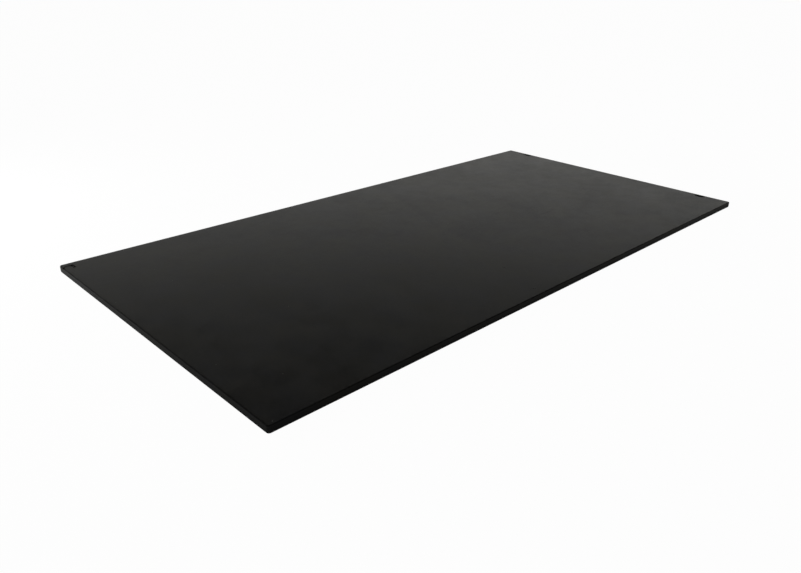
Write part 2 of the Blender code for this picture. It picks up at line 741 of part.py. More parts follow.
def make_splice(name, x, y):
    """A crimped barrel that joins a lead to the heating core, in a shrunk sleeve."""

    def along(start, end, radius):
        return rod((x + start, y, TRAY_LEVEL), (x + end, y, TRAY_LEVEL), radius)

    start, end = BARREL_SPAN
    lead_hole = along(-OVER, LEAD_GRIP, LEAD_R + RUNNING)
    core_hole = along(CORE_GRIP, SPLICE_LENGTH, CORE_R + RUNNING)
    barrel = cut(along(start, end, BARREL_R), lead_hole, core_hole)
    finish_part(barrel, f"splice_barrel_{name}", "brass")
    inner = BARREL_R + SLEEVE_GAP
    sleeve = along(start - SLEEVE_OVERHANG, end + SLEEVE_OVERHANG, inner + SLEEVE_WALL)
    cut(sleeve, along(-OVER, SPLICE_LENGTH + OVER, inner))
    finish_part(sleeve, f"splice_sleeve_{name}", "clear_sleeve")


def make_cutout(hinge):
    """A snap-action cut-out: case, lid, two terminals, and a bimetal arm that lifts off the fixed contact."""
    low_y, high_y = LIVE_Y - CUTOUT_HALF, LIVE_Y + CUTOUT_HALF
    case = box((CUTOUT_X[0], low_y, CUTOUT_Z[0]), (CUTOUT_X[1], high_y, CUTOUT_Z[1]))
    hollow = box(
        (CUTOUT_X[0] + CUTOUT_WALL, low_y + CUTOUT_WALL, CUTOUT_FLOOR),
        (CUTOUT_X[1] - CUTOUT_WALL, high_y - CUTOUT_WALL, THICKNESS),
    )
    slot_half = TAB_HALF + FIT
    tab_slot = box(
        (CUTOUT_X[0] - OVER, LIVE_Y - slot_half, CUTOUT_FLOOR),
        (CUTOUT_X[1] + OVER, LIVE_Y + slot_half, TAB_LEVELS[1] + RUNNING),
    )
    finish_part(cut(case, hollow, tab_slot), "cutout_case", "tan_plastic")
    lid = box((CUTOUT_X[0], low_y, CUTOUT_LID[0]), (CUTOUT_X[1], high_y, CUTOUT_LID[1]))
    finish_part(lid, "cutout_lid", "tan_plastic")

    def tab(start, end):
        return box((start, LIVE_Y - TAB_HALF, TAB_LEVELS[0]), (end, LIVE_Y + TAB_HALF, TAB_LEVELS[1]))

    post_end = ARM_X[0] + POST_LENGTH
    input_terminal = tab(CUTOUT_X[0] - TAB_REACH, post_end)
    post = box((ARM_X[0], LIVE_Y - ARM_HALF, TAB_LEVELS[0]), (post_end, LIVE_Y + ARM_HALF, POST_TOP))
    join(input_terminal, post)
    cut(input_terminal, cylinder((ARM_RIVET_X, LIVE_Y), ARM_RIVET_R + SLEEVE_GAP, 4.5 * MM, THICKNESS, 12))
    finish_part(input_terminal, "cutout_input_terminal", "brass")

    output_terminal = tab(BUTTON_X - 2 * MM, CUTOUT_X[1] + TAB_REACH)
    fixed_contact = cylinder((BUTTON_X, LIVE_Y), BUTTON_R, TAB_LEVELS[1] - 0.1 * MM, BUTTON_LEVELS[0], 16)
    join(output_terminal, fixed_contact)
    finish_part(output_terminal, "cutout_output_terminal", "brass")

    arm = box((ARM_X[0], LIVE_Y - ARM_HALF, ARM_Z[0]), (ARM_X[1], LIVE_Y + ARM_HALF, ARM_Z[1]))
    join(arm, cylinder((BUTTON_X, LIVE_Y), BUTTON_R, BUTTON_LEVELS[1], ARM_Z[0] + 0.1 * MM, 16))
    cut(arm, cylinder((ARM_RIVET_X, LIVE_Y), 0.6 * MM, 0, THICKNESS, 14))
    finish_part(arm, "cutout_arm", "bimetal")
    arm.parent = hinge
    arm.matrix_parent_inverse = Matrix.Translation(-hinge.location)

    rivet = cylinder((ARM_RIVET_X, LIVE_Y), ARM_RIVET_R, 4.6 * MM, 5.8 * MM, 12)
    join(rivet, cylinder((ARM_RIVET_X, LIVE_Y), ARM_RIVET_HEAD_R, 5.65 * MM, 6.1 * MM, 14))
    finish_part(rivet, "cutout_rivet", "steel")


def make_leads():
    """The insulated leads from the socket's contacts to the tray and to the earth lug."""
    live, neutral, earth = (contact_at(name) for name in ("live", "neutral", "earth"))
    start = CONTACT_R + 0.15 * MM
    tab_gap = TAB_REACH + 0.2 * MM
    tab_level = (TAB_LEVELS[0] + TAB_LEVELS[1]) / 2
    lug_level = LUG.z - 0.1 * MM
    live_path = (
        (live.x + start, live.y, LEAD_LEVEL),
        (LEAD_EXIT_X, live.y, LEAD_LEVEL),
        (LEAD_ENTRY_X, LIVE_Y, LEAD_LEVEL),
        (CUTOUT_X[0] - tab_gap, LIVE_Y, tab_level),
    )
    neutral_path = (
        (neutral.x + start, neutral.y, LEAD_LEVEL),
        (LEAD_EXIT_X, neutral.y, LEAD_LEVEL),
        (LEAD_ENTRY_X, NEUTRAL_Y, LEAD_LEVEL),
        (LEAD_ENTRY_X + 9 * MM, NEUTRAL_Y, LEAD_LEVEL + 0.1 * MM),
        (LEAD_ENTRY_X + 19 * MM, NEUTRAL_Y, TRAY_LEVEL),
        (SPLICE_NEUTRAL_X + LEAD_GRIP - 0.5 * MM, NEUTRAL_Y, TRAY_LEVEL),
    )
    earth_path = (
        (earth.x + start, earth.y, LEAD_LEVEL),
        (LEAD_EXIT_X, earth.y, LEAD_LEVEL),
        (LUG.x, LUG.y + 12 * MM, LEAD_LEVEL + 1 * MM),
        (LUG.x, LUG.y + 8 * MM, lug_level),
        (LUG.x, LUG.y + LUG_TAIL + FIT, lug_level),
    )
    link_path = (
        (CUTOUT_X[1] + tab_gap, LIVE_Y, tab_level),
        (CUTOUT_X[1] + tab_gap + 2.3 * MM, LIVE_Y, tab_level + 0.15 * MM),
        (SPLICE_LIVE_X - 1 * MM, LIVE_Y, TRAY_LEVEL),
        (SPLICE_LIVE_X + LEAD_GRIP - 0.5 * MM, LIVE_Y, TRAY_LEVEL),
    )
    for name, path, finish in (
        ("live_lead", live_path, "brown_wire"),
        ("neutral_lead", neutral_path, "blue_wire"),
        ("earth_lead", earth_path, "green_wire"),
        ("cutout_link_lead", link_path, "brown_wire"),
    ):
        finish_part(tube(rounded_path(path, LEAD_BEND), LEAD_R), name, finish)


def make_earth_lug():
    """A ring terminal riveted to the underside of the heat spreader, with a crimp tube for its lead."""
    lug = cylinder(LUG, LUG_R, LUG.z, LUG.z + LUG_THICKNESS, 24)
    tail = box(
        (LUG.x - 1 * MM, LUG.y + 1.5 * MM, LUG.z),
        (LUG.x + 1 * MM, LUG.y + LUG_TAIL, LUG.z + LUG_THICKNESS),
    )
    join(lug, tail)
    cut(lug, cylinder(LUG, RIVET_R + RUNNING, 0, THICKNESS, SMALL_STEPS))
    finish_part(lug, "earth_lug", "brass")
    rivet = cylinder(LUG, RIVET_R, 6.9 * MM, 8.4 * MM, SMALL_STEPS)
    join(
        rivet,
        cylinder(LUG, RIVET_HEAD_R, 6.6 * MM, 7.05 * MM, SMALL_STEPS),
        cylinder(LUG, RIVET_UPSET_R, 8.28 * MM, 8.48 * MM, SMALL_STEPS),
    )
    finish_part(rivet, "earth_rivet", "steel")


# ---------------------------------------------------------------- assembly


def pivot(name, location):
    """An empty on a joint's axis, which carries the pieces that turn with it."""
    empty = bpy.data.objects.new(name, None)
    empty.location = location
    empty.empty_display_size = 5 * MM
    PARTS.objects.link(empty)
    return empty


clear_scene()
PARTS = new_collection("seedling_heat_mat")
HELPERS = new_collection("cutters")
MATERIALS = make_materials()

make_top_cover()
make_base_cover()
make_rim_seal()
make_rating_plate()
make_slot_liner(1, "slot_liner_back")
make_slot_liner(-1, "slot_liner_front")

make_layers()
make_heating_cable()
make_tapes()

make_socket_body()
make_socket_seal()
make_contacts()
make_cap(pivot("cap_hinge", (HINGE_X, SOCKET.y, HINGE_Z)))
make_hinge_pin()

make_tray()
make_splice("live", SPLICE_LIVE_X, LIVE_Y)
make_splice("neutral", SPLICE_NEUTRAL_X, NEUTRAL_Y)
make_cutout(pivot("cutout_hinge", (ARM_X[0], LIVE_Y, (ARM_Z[0] + ARM_Z[1]) / 2)))
make_leads()
make_earth_lug()
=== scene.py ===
"""Looks of the seedling heat mat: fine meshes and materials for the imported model, and its studio."""

import json
import math

import bmesh
import bpy
from mathutils import Matrix, Vector, noise


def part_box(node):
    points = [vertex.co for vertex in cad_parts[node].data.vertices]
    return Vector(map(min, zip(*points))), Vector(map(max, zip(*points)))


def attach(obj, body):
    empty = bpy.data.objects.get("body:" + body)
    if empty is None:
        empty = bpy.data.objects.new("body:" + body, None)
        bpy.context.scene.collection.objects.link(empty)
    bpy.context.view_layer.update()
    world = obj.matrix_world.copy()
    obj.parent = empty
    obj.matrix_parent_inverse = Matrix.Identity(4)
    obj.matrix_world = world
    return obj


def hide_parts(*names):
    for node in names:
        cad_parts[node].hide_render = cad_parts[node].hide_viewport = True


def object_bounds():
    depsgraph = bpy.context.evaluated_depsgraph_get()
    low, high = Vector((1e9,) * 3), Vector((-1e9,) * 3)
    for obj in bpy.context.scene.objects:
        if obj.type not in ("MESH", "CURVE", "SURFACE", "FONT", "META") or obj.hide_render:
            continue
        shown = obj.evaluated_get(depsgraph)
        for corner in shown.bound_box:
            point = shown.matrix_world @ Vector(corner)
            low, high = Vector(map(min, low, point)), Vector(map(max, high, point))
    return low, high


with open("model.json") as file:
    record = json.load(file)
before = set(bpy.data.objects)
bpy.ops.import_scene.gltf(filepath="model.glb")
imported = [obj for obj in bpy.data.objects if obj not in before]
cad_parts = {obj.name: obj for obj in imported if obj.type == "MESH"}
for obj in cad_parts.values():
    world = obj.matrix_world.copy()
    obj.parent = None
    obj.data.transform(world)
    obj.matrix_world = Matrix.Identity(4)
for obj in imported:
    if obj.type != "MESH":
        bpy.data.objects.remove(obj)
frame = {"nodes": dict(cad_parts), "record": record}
cad_low, cad_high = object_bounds()

MM = 0.001
MERGE = 0.001 * MM  # vertices closer than this become one
LEAST_RADIUS = 0.05 * MM

# Camera: it stands off the corner at -X, -Y; angles in degrees, lens and sensor in millimetres
CAMERA_AZIMUTH = -44.47
CAMERA_ELEVATION = 24.88
CAMERA_ROLL = 1.08
CAMERA_DISTANCE = 1.148
CAMERA_TARGET = Vector((-0.2267, -0.1209, 0.0))
CAMERA_LENS = 31.59
CAMERA_SENSOR = 36
CAMERA_NEAREST = 0.01

# Rounding and unevenness of the rubber cover
TOP_ROUND = 2.0 * MM
BOTTOM_ROUND = 1.5 * MM
PLAN_CORNER = 4 * MM
CAVITY_CORNER = 5 * MM
GRID = 12 * MM  # pitch of the cuts that give the waves vertices to move
SHINE = 0.5  # specular level
ARRIS_SHINE = 0.14  # the same, on the rubbed arrises
TOP_WAVE = 0.20 * MM
EDGE_WAVE = 0.25 * MM
BROAD_WAVES = 5  # noise cells in a metre
FINE_WAVES = 17
EDGE_WAVES = 9
BROAD_SHARE = 0.75  # of the top's unevenness; the rest is fine
RIM_FLARE = 0.35 * MM  # round where a recess meets the top face
RIM_STEPS = 4

# Recesses in the cover, measured from the pieces that sit in them
REACH = 3 * MM  # how far a cutter runs past the face it cuts
GAP = 0.3 * MM  # between a piece and the wall beside it
RUNNING = 0.15 * MM  # the same, for a piece in a hole
SHEET_GAP = 4 * MM  # between the heat spreader's long sides and the rim
LINER_LIP = 2 * MM  # how much wider a slot liner's flange is than its barrel, all round
LINER_SEAT = 1.5 * MM
CAP_PLAY = 0.5 * MM
SEAT_DEPTH = 4 * MM
BORE_FLOOR = 1.5 * MM
RELIEF_START = 2.6 * MM  # from the socket's axis
RELIEF_END = 2.2 * MM  # beyond the hinge's axis
RELIEF_HALF = 6.6 * MM
RELIEF_CORNER = 0.8 * MM
THUMB_HALF = 3.5 * MM
THUMB_DEPTH = 2 * MM
THUMB_CORNER = 1.2 * MM
CHANNEL_HALF = 3.6 * MM
CHANNEL_CORNER = 0.4 * MM
CHANNEL_LEVELS = (3.2 * MM, 5.1 * MM)

# Finer copies of the CAD pieces; angles in degrees
FLAT_WITHIN = 0.6  # faces that meet at less are joined up
SHARP_ABOVE = 32
ROUND_ABOVE = 34
CREASE_ABOVE = 50
FULLER = 0.062  # share of its radius that a wire's finer mesh loses, and is given back

# Studio: the room's brightness goes by the sine of the elevation
WALL_TOP = 0.12
WALL_FADE = 0.162
WALL_LIGHT = 0.95
BRIGHT_SIDE = Vector((0.47, 0.883, 0.0))
BRIGHT_SPREAD = (-0.1, 1.0)  # cosines of the angles from the bright side where it starts and is full
DIM_SIDE = 0.42
WALL_TINT = (1.0, 0.997, 0.96)
ROOM_LIGHT = 0.012
OVERHEAD_FROM = 0.62
OVERHEAD_LIGHT = 0.30
BACKDROP = 0.985
FLOOR_REACH = 12.0
FLOOR_CORNER = 3.0
FLOOR_GAP = 0.05 * MM
PAINTED_SHADOW_INSET = 0.3 * MM  # how far the dark sheet, a painted shadow under the mat's bottom edge, stays inside the mat's outline
FLOOR_GLOW = 1.015
GLOW_SHARE = 0.96
FLOOR_TONE = 0.80
FLOOR_REFLECTED = 0.40


# ---------------------------------------------------------------- meshes and the frame's names


def outline(centre, half_x, half_y, radius, steps):
    """A rounded rectangle as points in order; a circle when both halves equal the radius."""
    points = []
    for quarter, (sx, sy) in enumerate(((1, 1), (-1, 1), (-1, -1), (1, -1))):
        cx = centre[0] + sx * (half_x - radius)
        cy = centre[1] + sy * (half_y - radius)
        for i in range(steps + 1):
            angle = math.radians(90 * (quarter + i / steps))
            points.append((cx + radius * math.cos(angle), cy + radius * math.sin(angle)))
    return points


def stack(name, centre, half_x, half_y, radius, profile, steps=8):
    """A closed mesh from outlines grown by each offset and placed at each level of the profile."""
    bm = bmesh.new()
    loops = []
    for offset, level in profile:
        corner = max(radius + offset, LEAST_RADIUS)
        points = outline(centre, half_x + offset, half_y + offset, corner, steps)
        loops.append([bm.verts.new((x, y, level)) for x, y in points])
    for lower, upper in zip(loops, loops[1:]):
        for i in range(len(lower)):
            j = (i + 1) % len(lower)
            bm.faces.new((lower[i], lower[j], upper[j], upper[i]))
    bm.faces.new(loops[0])
    bm.faces.new(loops[-1])
    bmesh.ops.remove_doubles(bm, verts=bm.verts, dist=MERGE)
    bmesh.ops.recalc_face_normals(bm, faces=bm.faces)
    mesh = bpy.data.meshes.new(name)
    bm.to_mesh(mesh)
    bm.free()
    obj = bpy.data.objects.new(name, mesh)
    bpy.context.scene.collection.objects.link(obj)
    return obj


def arc(offset, level, radius, start, end, steps):
    """Profile points round a fillet whose centre is at (offset, level), from one angle to another."""
    points = []
    for i in range(steps + 1):
        angle = math.radians(start + (end - start) * i / steps)
        points.append((offset + radius * math.cos(angle), level + radius * math.sin(angle)))
    return points


def slice_up(obj, pitch):
    """Cuts a mesh along a square grid of about this pitch."""
    bm = bmesh.new()
    bm.from_mesh(obj.data)
    for axis in (0, 1):
        reach = max(v.co[axis] for v in bm.verts)
        count = int(2 * reach / pitch)
        for i in range(1, count):
            plane = Vector((0, 0, 0))
            plane[axis] = -reach + i * 2 * reach / count
            normal = Vector((0, 0, 0))
            normal[axis] = 1
            geometry = bm.verts[:] + bm.edges[:] + bm.faces[:]
            bmesh.ops.bisect_plane(bm, geom=geometry, plane_co=plane, plane_no=normal, dist=MERGE / 10)
    bm.to_mesh(obj.data)
    bm.free()


def cut_all(obj, cutters):
    """Cuts every cutter out of the object, for good, and removes the cutters."""
    group = bpy.data.collections.new("cutting")
    for cutter in cutters:
        group.objects.link(cutter)
    modifier = obj.modifiers.new("Cut", "BOOLEAN")
    modifier.operation = "DIFFERENCE"
    modifier.operand_type = "COLLECTION"
    modifier.collection = group
    bpy.context.view_layer.update()
    evaluated = obj.evaluated_get(bpy.context.evaluated_depsgraph_get())
    mesh = bpy.data.meshes.new_from_object(evaluated)
    obj.modifiers.clear()
    obj.data = mesh
    for cutter in cutters:
        bpy.data.objects.remove(cutter)
    bpy.data.collections.remove(group)


def shade(obj):
    """Smooth shading with sharp edges, and normals that follow the large faces."""
    obj.data.shade_smooth()
    obj.data.set_sharp_from_angle(angle=math.radians(SHARP_ABOVE))
    weighted = obj.modifiers.new("Normals", "WEIGHTED_NORMAL")
    weighted.keep_sharp = True


def slot_of(node):
    return next(s["material_slot"] for s in frame["record"]["subparts"] if s["node"] == node)


def body_of(node):
    bodies = frame["record"]["behaviour"]["bodies"]
    return next(body for body, nodes in bodies.items() if node in nodes)


def stand_for(obj, node):
    """The object takes a CAD node's place: its body, its slot and its material."""
    obj.data.materials.clear()
    obj.data.materials.append(MATERIALS[slot_of(node)])
    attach(obj, body_of(node))
    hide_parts(node)


def copied(node, crease_from=None):
    """A copy of a CAD node with its flat faces joined up, and edges sharper than an angle creased."""
    bm = bmesh.new()
    bm.from_mesh(frame["nodes"][node].data)
    bmesh.ops.remove_doubles(bm, verts=bm.verts, dist=MERGE)
    bmesh.ops.dissolve_limit(bm, angle_limit=math.radians(FLAT_WITHIN), verts=bm.verts, edges=bm.edges)
    if crease_from:
        crease = bm.edges.layers.float.new("crease_edge")
        for edge in bm.edges:
            if edge.is_manifold and edge.calc_face_angle() > math.radians(crease_from):
                edge[crease] = 1.0
    mesh = bpy.data.meshes.new(node)
    bm.to_mesh(mesh)
    bm.free()
    obj = bpy.data.objects.new(node + "_fine", mesh)
    bpy.context.scene.collection.objects.link(obj)
    return obj


def bevelled(node, width, segments=3):
    """A CAD node again, with its sharp edges rounded."""
    obj = copied(node)
    bevel = obj.modifiers.new("Round", "BEVEL")
    bevel.width = width
    bevel.segments = segments
    bevel.limit_method = "ANGLE"
    bevel.angle_limit = math.radians(ROUND_ABOVE)
    shade(obj)
    stand_for(obj, node)


def rounded(node, radius):
    """A wire or a round piece again, as thick as before, with twice the facets round it."""
    obj = copied(node, CREASE_ABOVE)
    finer = obj.modifiers.new("Finer", "SUBSURF")
    finer.levels = finer.render_levels = 1
    fuller = obj.modifiers.new("Fuller", "DISPLACE")
    fuller.mid_level = 0
    fuller.strength = FULLER * radius
    obj.data.shade_smooth()
    obj.data.set_sharp_from_angle(angle=math.radians(CREASE_ABOVE))
    stand_for(obj, node)


# ---------------------------------------------------------------- materials


class Nodes:
    """A small builder for one material's node tree, with coordinates in metres."""

    def __init__(self, name, colour, roughness, metallic=0.0):
        self.material = bpy.data.materials.new(name)
        self.material.use_nodes = True
        self.tree = self.material.node_tree
        self.shader = self.tree.nodes["Principled BSDF"]
        self.shader.inputs["Base Color"].default_value = (*colour, 1)
        self.shader.inputs["Roughness"].default_value = roughness
        self.shader.inputs["Metallic"].default_value = metallic
        self.where = self.add("ShaderNodeTexCoord").outputs["Object"]

    def add(self, kind, **settings):
        node = self.tree.nodes.new(kind)
        for key, value in settings.items():
            setattr(node, key, value)
        return node

    def link(self, source, target):
        self.tree.links.new(source, target)

    def stretched(self, scale):
        node = self.add("ShaderNodeMapping")
        node.inputs["Scale"].default_value = scale
        self.link(self.where, node.inputs["Vector"])
        return node.outputs["Vector"]

    def noise(self, scale, detail=3.0, roughness=0.5, vector=None):
        node = self.add("ShaderNodeTexNoise")
        node.inputs["Scale"].default_value = scale
        node.inputs["Detail"].default_value = detail
        node.inputs["Roughness"].default_value = roughness
        self.link(vector or self.where, node.inputs["Vector"])
        return node.outputs["Fac"]

    def cells(self, scale, output="Distance", dimensions="3D"):
        node = self.add("ShaderNodeTexVoronoi", voronoi_dimensions=dimensions)
        node.inputs["Scale"].default_value = scale
        self.link(self.where, node.inputs["Vector"])
        return node.outputs[output]

    def bands(self, scale, direction, distortion=0.0):
        node = self.add("ShaderNodeTexWave", bands_direction=direction)
        node.inputs["Scale"].default_value = scale
        node.inputs["Distortion"].default_value = distortion
        self.link(self.where, node.inputs["Vector"])
        return node.outputs["Fac"]

    def ranged(self, value, low, high, from_low=0.3, from_high=0.7):
        """Takes a value smoothly from one range to another, and holds it at the ends."""
        node = self.add("ShaderNodeMapRange", interpolation_type="SMOOTHSTEP")
        node.inputs["From Min"].default_value = from_low
        node.inputs["From Max"].default_value = from_high
        node.inputs["To Min"].default_value = low
        node.inputs["To Max"].default_value = high
        self.link(value, node.inputs["Value"])
        return node.outputs["Result"]

    def math(self, operation, first, second=0.0):
        node = self.add("ShaderNodeMath", operation=operation)
        for socket, value in zip(node.inputs, (first, second)):
            if isinstance(value, (int, float)):
                socket.default_value = value
            else:
                self.link(value, socket)
        return node.outputs["Value"]

    def mix(self, share, first, second):
        """Mixes two colours, each a colour or a socket; the mix node's colour inputs are its 6 and 7."""
        node = self.add("ShaderNodeMix", data_type="RGBA")
        self.link(share, node.inputs["Factor"])
        for socket, value in zip(node.inputs[6:8], (first, second)):
            if isinstance(value, tuple):
                socket.default_value = (*value, 1)
            else:
                self.link(value, socket)
        return node.outputs[2]

    def bump(self, height, depth, strength=1.0, under=None):
        node = self.add("ShaderNodeBump")
        node.inputs["Strength"].default_value = strength
        node.inputs["Distance"].default_value = depth
        self.link(height, node.inputs["Height"])
        if under:
            self.link(under, node.inputs["Normal"])
        return node.outputs["Normal"]

    def set(self, **sockets):
        """Links sockets to the shader's inputs: colour, roughness, normal, shine and tint."""
        names = {
            "colour": "Base Color",
            "roughness": "Roughness",
            "normal": "Normal",
            "shine": "Specular IOR Level",
            "tint": "Specular Tint",
        }
        for key, socket in sockets.items():
            self.link(socket, self.shader.inputs[names[key]])
        return self.material


def specks(nodes, scale, radius, share):
    """A mask of small spots seen from above: a share of the cells of a Voronoi pattern hold one each."""
    distance = nodes.cells(scale, dimensions="2D")
    spot = nodes.ranged(distance, 1.0, 0.0, radius * 0.4, radius)
    tone = nodes.add("ShaderNodeSeparateColor")
    nodes.link(nodes.cells(scale, "Color", dimensions="2D"), tone.inputs["Color"])
    chosen = nodes.math("GREATER_THAN", tone.outputs["Red"], 1 - share)
    return nodes.math("MULTIPLY", spot, chosen)


def rubber_material():
    """Moulded black rubber: cloudy sheen, faint stains, fine grain, scuffs, rubbed edges, dust, and small
    pits, sunk by a bump and painted darker as painted shade in the hollows.
    """
    n = Nodes("black_rubber", (0.008, 0.008, 0.0075), 0.35)
    cloud = n.noise(7, 3, 0.55)
    blotch = n.noise(38, 4, 0.6)
    speckle = n.noise(420, 3, 0.6)
    scuff = n.noise(1, 5, 0.65, vector=n.stretched((9, 70, 40)))
    stain = n.noise(13, 4, 0.65)
    dust = specks(n, 60, 0.040, 0.008)
    pits_and_pit_shade = specks(n, 43, 0.035, 0.009)
    facing = n.add("ShaderNodeSeparateXYZ")
    n.link(n.add("ShaderNodeNewGeometry").outputs["Normal"], facing.inputs["Vector"])
    upright = n.math("ABSOLUTE", facing.outputs["Z"])
    on_edge = n.math("MULTIPLY", n.ranged(upright, 0, 1, 0.10, 0.40), n.ranged(upright, 1, 0, 0.84, 0.97))
    worn = n.math("MULTIPLY", on_edge, n.ranged(n.noise(130, 5, 0.7), 0, 1, 0.55, 0.70))
    base = n.mix(n.ranged(cloud, 0, 1), (0.0042, 0.0042, 0.0042), (0.0070, 0.0069, 0.0064))
    base = n.mix(n.ranged(blotch, 0, 0.5), base, (0.0085, 0.0085, 0.0085))
    base = n.mix(n.ranged(speckle, 0, 0.6, 0.45, 0.65), base, (0.013, 0.013, 0.0125))
    base = n.mix(n.ranged(scuff, 0, 0.25, 0.6, 0.78), base, (0.03, 0.03, 0.03))
    base = n.mix(n.math("MULTIPLY", worn, 0.5), base, (0.022, 0.022, 0.021))
    base = n.mix(dust, base, (0.30, 0.29, 0.27))
    # Painted shade: the small pits are painted darker than the rubber, standing in for the shade inside the
    # hollows.
    base = n.mix(pits_and_pit_shade, base, (0.002, 0.002, 0.002))
    rough = n.math("ADD", n.ranged(cloud, 0.311, 0.349), n.ranged(blotch, -0.018, 0.026))
    rough = n.math("ADD", rough, n.ranged(speckle, -0.022, 0.022, 0.4, 0.6))
    rough = n.math("ADD", rough, n.ranged(scuff, 0, 0.06, 0.58, 0.78))
    rough = n.math("ADD", rough, n.math("MULTIPLY", n.math("ADD", dust, worn), 0.2))
    grain = n.bump(n.noise(1500, 3, 0.6), 0.03 * MM, 0.5)
    pebble = n.bump(n.noise(260, 3, 0.5), 0.06 * MM, 0.5, grain)
    hollow = n.bump(n.math("MULTIPLY", pits_and_pit_shade, -1.0), 0.3 * MM, 0.8, pebble)
    shine = n.ranged(on_edge, SHINE, ARRIS_SHINE, 0.0, 1.0)
    tint = n.mix(n.ranged(stain, 0, 1, 0.35, 0.65), (1.0, 0.98, 0.86), (0.88, 0.91, 1.0))
    return n.set(colour=base, roughness=rough, normal=hollow, shine=shine, tint=tint)


def moulded_material(name, colour, darker, roughness, grain_scale=1800, shine=SHINE):
    """A moulded plastic or soft rubber with a fine grain and a little colour variation."""
    n = Nodes(name, colour, roughness)
    n.shader.inputs["Specular IOR Level"].default_value = shine
    patch = n.noise(90, 3)
    base = n.mix(n.ranged(patch, 0, 1), colour, darker)
    rough = n.ranged(n.noise(300, 4), roughness - 0.06, roughness + 0.08)
    normal = n.bump(n.noise(grain_scale, 3, 0.6), 0.02 * MM, 0.6)
    return n.set(colour=base, roughness=rough, normal=normal)


def foam_material():
    n = Nodes("white_foam", (0.78, 0.77, 0.72), 0.9)
    cells = n.cells(900)
    base = n.mix(n.ranged(cells, 0, 1, 0.1, 0.6), (0.82, 0.81, 0.76), (0.60, 0.59, 0.54))
    return n.set(colour=base, normal=n.bump(cells, 0.25 * MM, 0.8))


def cloth_material():
    """Woven glass cloth: two crossed sets of bands at about one thread a millimetre."""
    n = Nodes("glass_cloth", (0.74, 0.70, 0.55), 0.75)
    weave = n.math("MAXIMUM", n.bands(320, "X", 0.4), n.bands(320, "Y", 0.4))
    base = n.mix(weave, (0.50, 0.46, 0.34), (0.80, 0.76, 0.62))
    rough = n.ranged(n.noise(60, 3), 0.65, 0.85)
    return n.set(colour=base, roughness=rough, normal=n.bump(weave, 0.12 * MM, 0.8))


def metal_material(name, colour, tarnish, roughness, grain=(1, 1, 1), scratches=1400):
    """A metal with drawn or rolled grain, and patches that are a little duller."""
    n = Nodes(name, colour, roughness, 1.0)
    dull = n.noise(120, 4)
    fine = n.noise(scratches, 4, 0.6, vector=n.stretched(grain))
    base = n.mix(n.ranged(dull, 0, 0.6), colour, tarnish)
    rough = n.math("ADD", n.ranged(fine, roughness - 0.08, roughness + 0.12), n.ranged(dull, 0, 0.08))
    return n.set(colour=base, roughness=rough, normal=n.bump(fine, 0.01 * MM, 0.5))


MATERIALS = {
    "black_rubber": rubber_material(),
    "black_nylon": moulded_material(
        "black_nylon", (0.010, 0.010, 0.011), (0.015, 0.015, 0.015), 0.50, shine=0.3
    ),
    "grey_seal": moulded_material("grey_seal", (0.07, 0.07, 0.07), (0.10, 0.10, 0.10), 0.66, 1200),
    "white_foam": foam_material(),
    "glass_cloth": cloth_material(),
    "aluminium": metal_material(
        "aluminium", (0.80, 0.80, 0.82), (0.62, 0.62, 0.64), 0.30, grain=(1, 14, 14), scratches=160
    ),
    "red_silicone": moulded_material("red_silicone", (0.55, 0.05, 0.03), (0.42, 0.035, 0.025), 0.42),
    "resistance_wire": metal_material("resistance_wire", (0.42, 0.40, 0.38), (0.25, 0.22, 0.20), 0.36),
    "brass": metal_material("brass", (0.78, 0.57, 0.22), (0.55, 0.36, 0.15), 0.28),
    "steel": metal_material("steel", (0.60, 0.60, 0.62), (0.45, 0.44, 0.43), 0.26),
    "bimetal": metal_material(
        "bimetal", (0.62, 0.54, 0.42), (0.45, 0.38, 0.30), 0.34, grain=(1, 12, 12), scratches=300
    ),
    "brown_wire": moulded_material("brown_wire", (0.20, 0.09, 0.04), (0.15, 0.065, 0.03), 0.38),
    "blue_wire": moulded_material("blue_wire", (0.04, 0.14, 0.42), (0.03, 0.10, 0.33), 0.38),
    "green_wire": moulded_material("green_wire", (0.10, 0.34, 0.08), (0.42, 0.36, 0.05), 0.38, 1500),
    "tan_plastic": moulded_material("tan_plastic", (0.50, 0.42, 0.30), (0.44, 0.36, 0.25), 0.52),
    "clear_sleeve": moulded_material("clear_sleeve", (0.05, 0.05, 0.055), (0.08, 0.08, 0.085), 0.36),
    "silver_plate": metal_material(
        "silver_plate", (0.60, 0.60, 0.61), (0.46, 0.46, 0.46), 0.38, grain=(1, 20, 1), scratches=200
    ),
}


# ---------------------------------------------------------------- the rubber cover


def middle(node):
    low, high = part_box(node)
    return (low + high) / 2


def size_of(node):
    low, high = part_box(node)
    return high - low


def flared(name, centre, half_x, half_y, radius, floor, top, steps=8):
    """A cutter for a recess whose upright wall turns outwards, in a small round, at the top face."""
    profile = [(0, floor)]
    profile += arc(RIM_FLARE, top - RIM_FLARE, RIM_FLARE, 180, 90, RIM_STEPS)
    profile.append((RIM_FLARE, top + REACH))
    return stack(name, centre, half_x, half_y, radius, profile, steps)


def plain_cutter(name, low, high, radius):
    """A block with rounded upright corners, between two corners given as points."""
    low, high = Vector(low), Vector(high)
    centre = (low + high) / 2
    half = (high - low) / 2
    return stack(name, centre, half.x, half.y, radius, [(0, low.z), (0, high.z)], 4)


def slab_blank(low, high):
    """The plain slab with rounded corners and edges."""
    half = (high - low) / 2
    centre = (low + high) / 2
    profile = arc(-BOTTOM_ROUND, low.z + BOTTOM_ROUND, BOTTOM_ROUND, -90, 0, 3)
    profile += arc(-TOP_ROUND, high.z - TOP_ROUND, TOP_ROUND, 0, 90, 6)
    return stack("top_cover_skin", centre, half.x, half.y, PLAN_CORNER, profile, 6)


def waviness(co, frequency, layer):
    """Smooth noise over the plan, from -1 to 1; each layer of it is different."""
    return noise.noise(Vector((co.x * frequency, co.y * frequency, layer)))


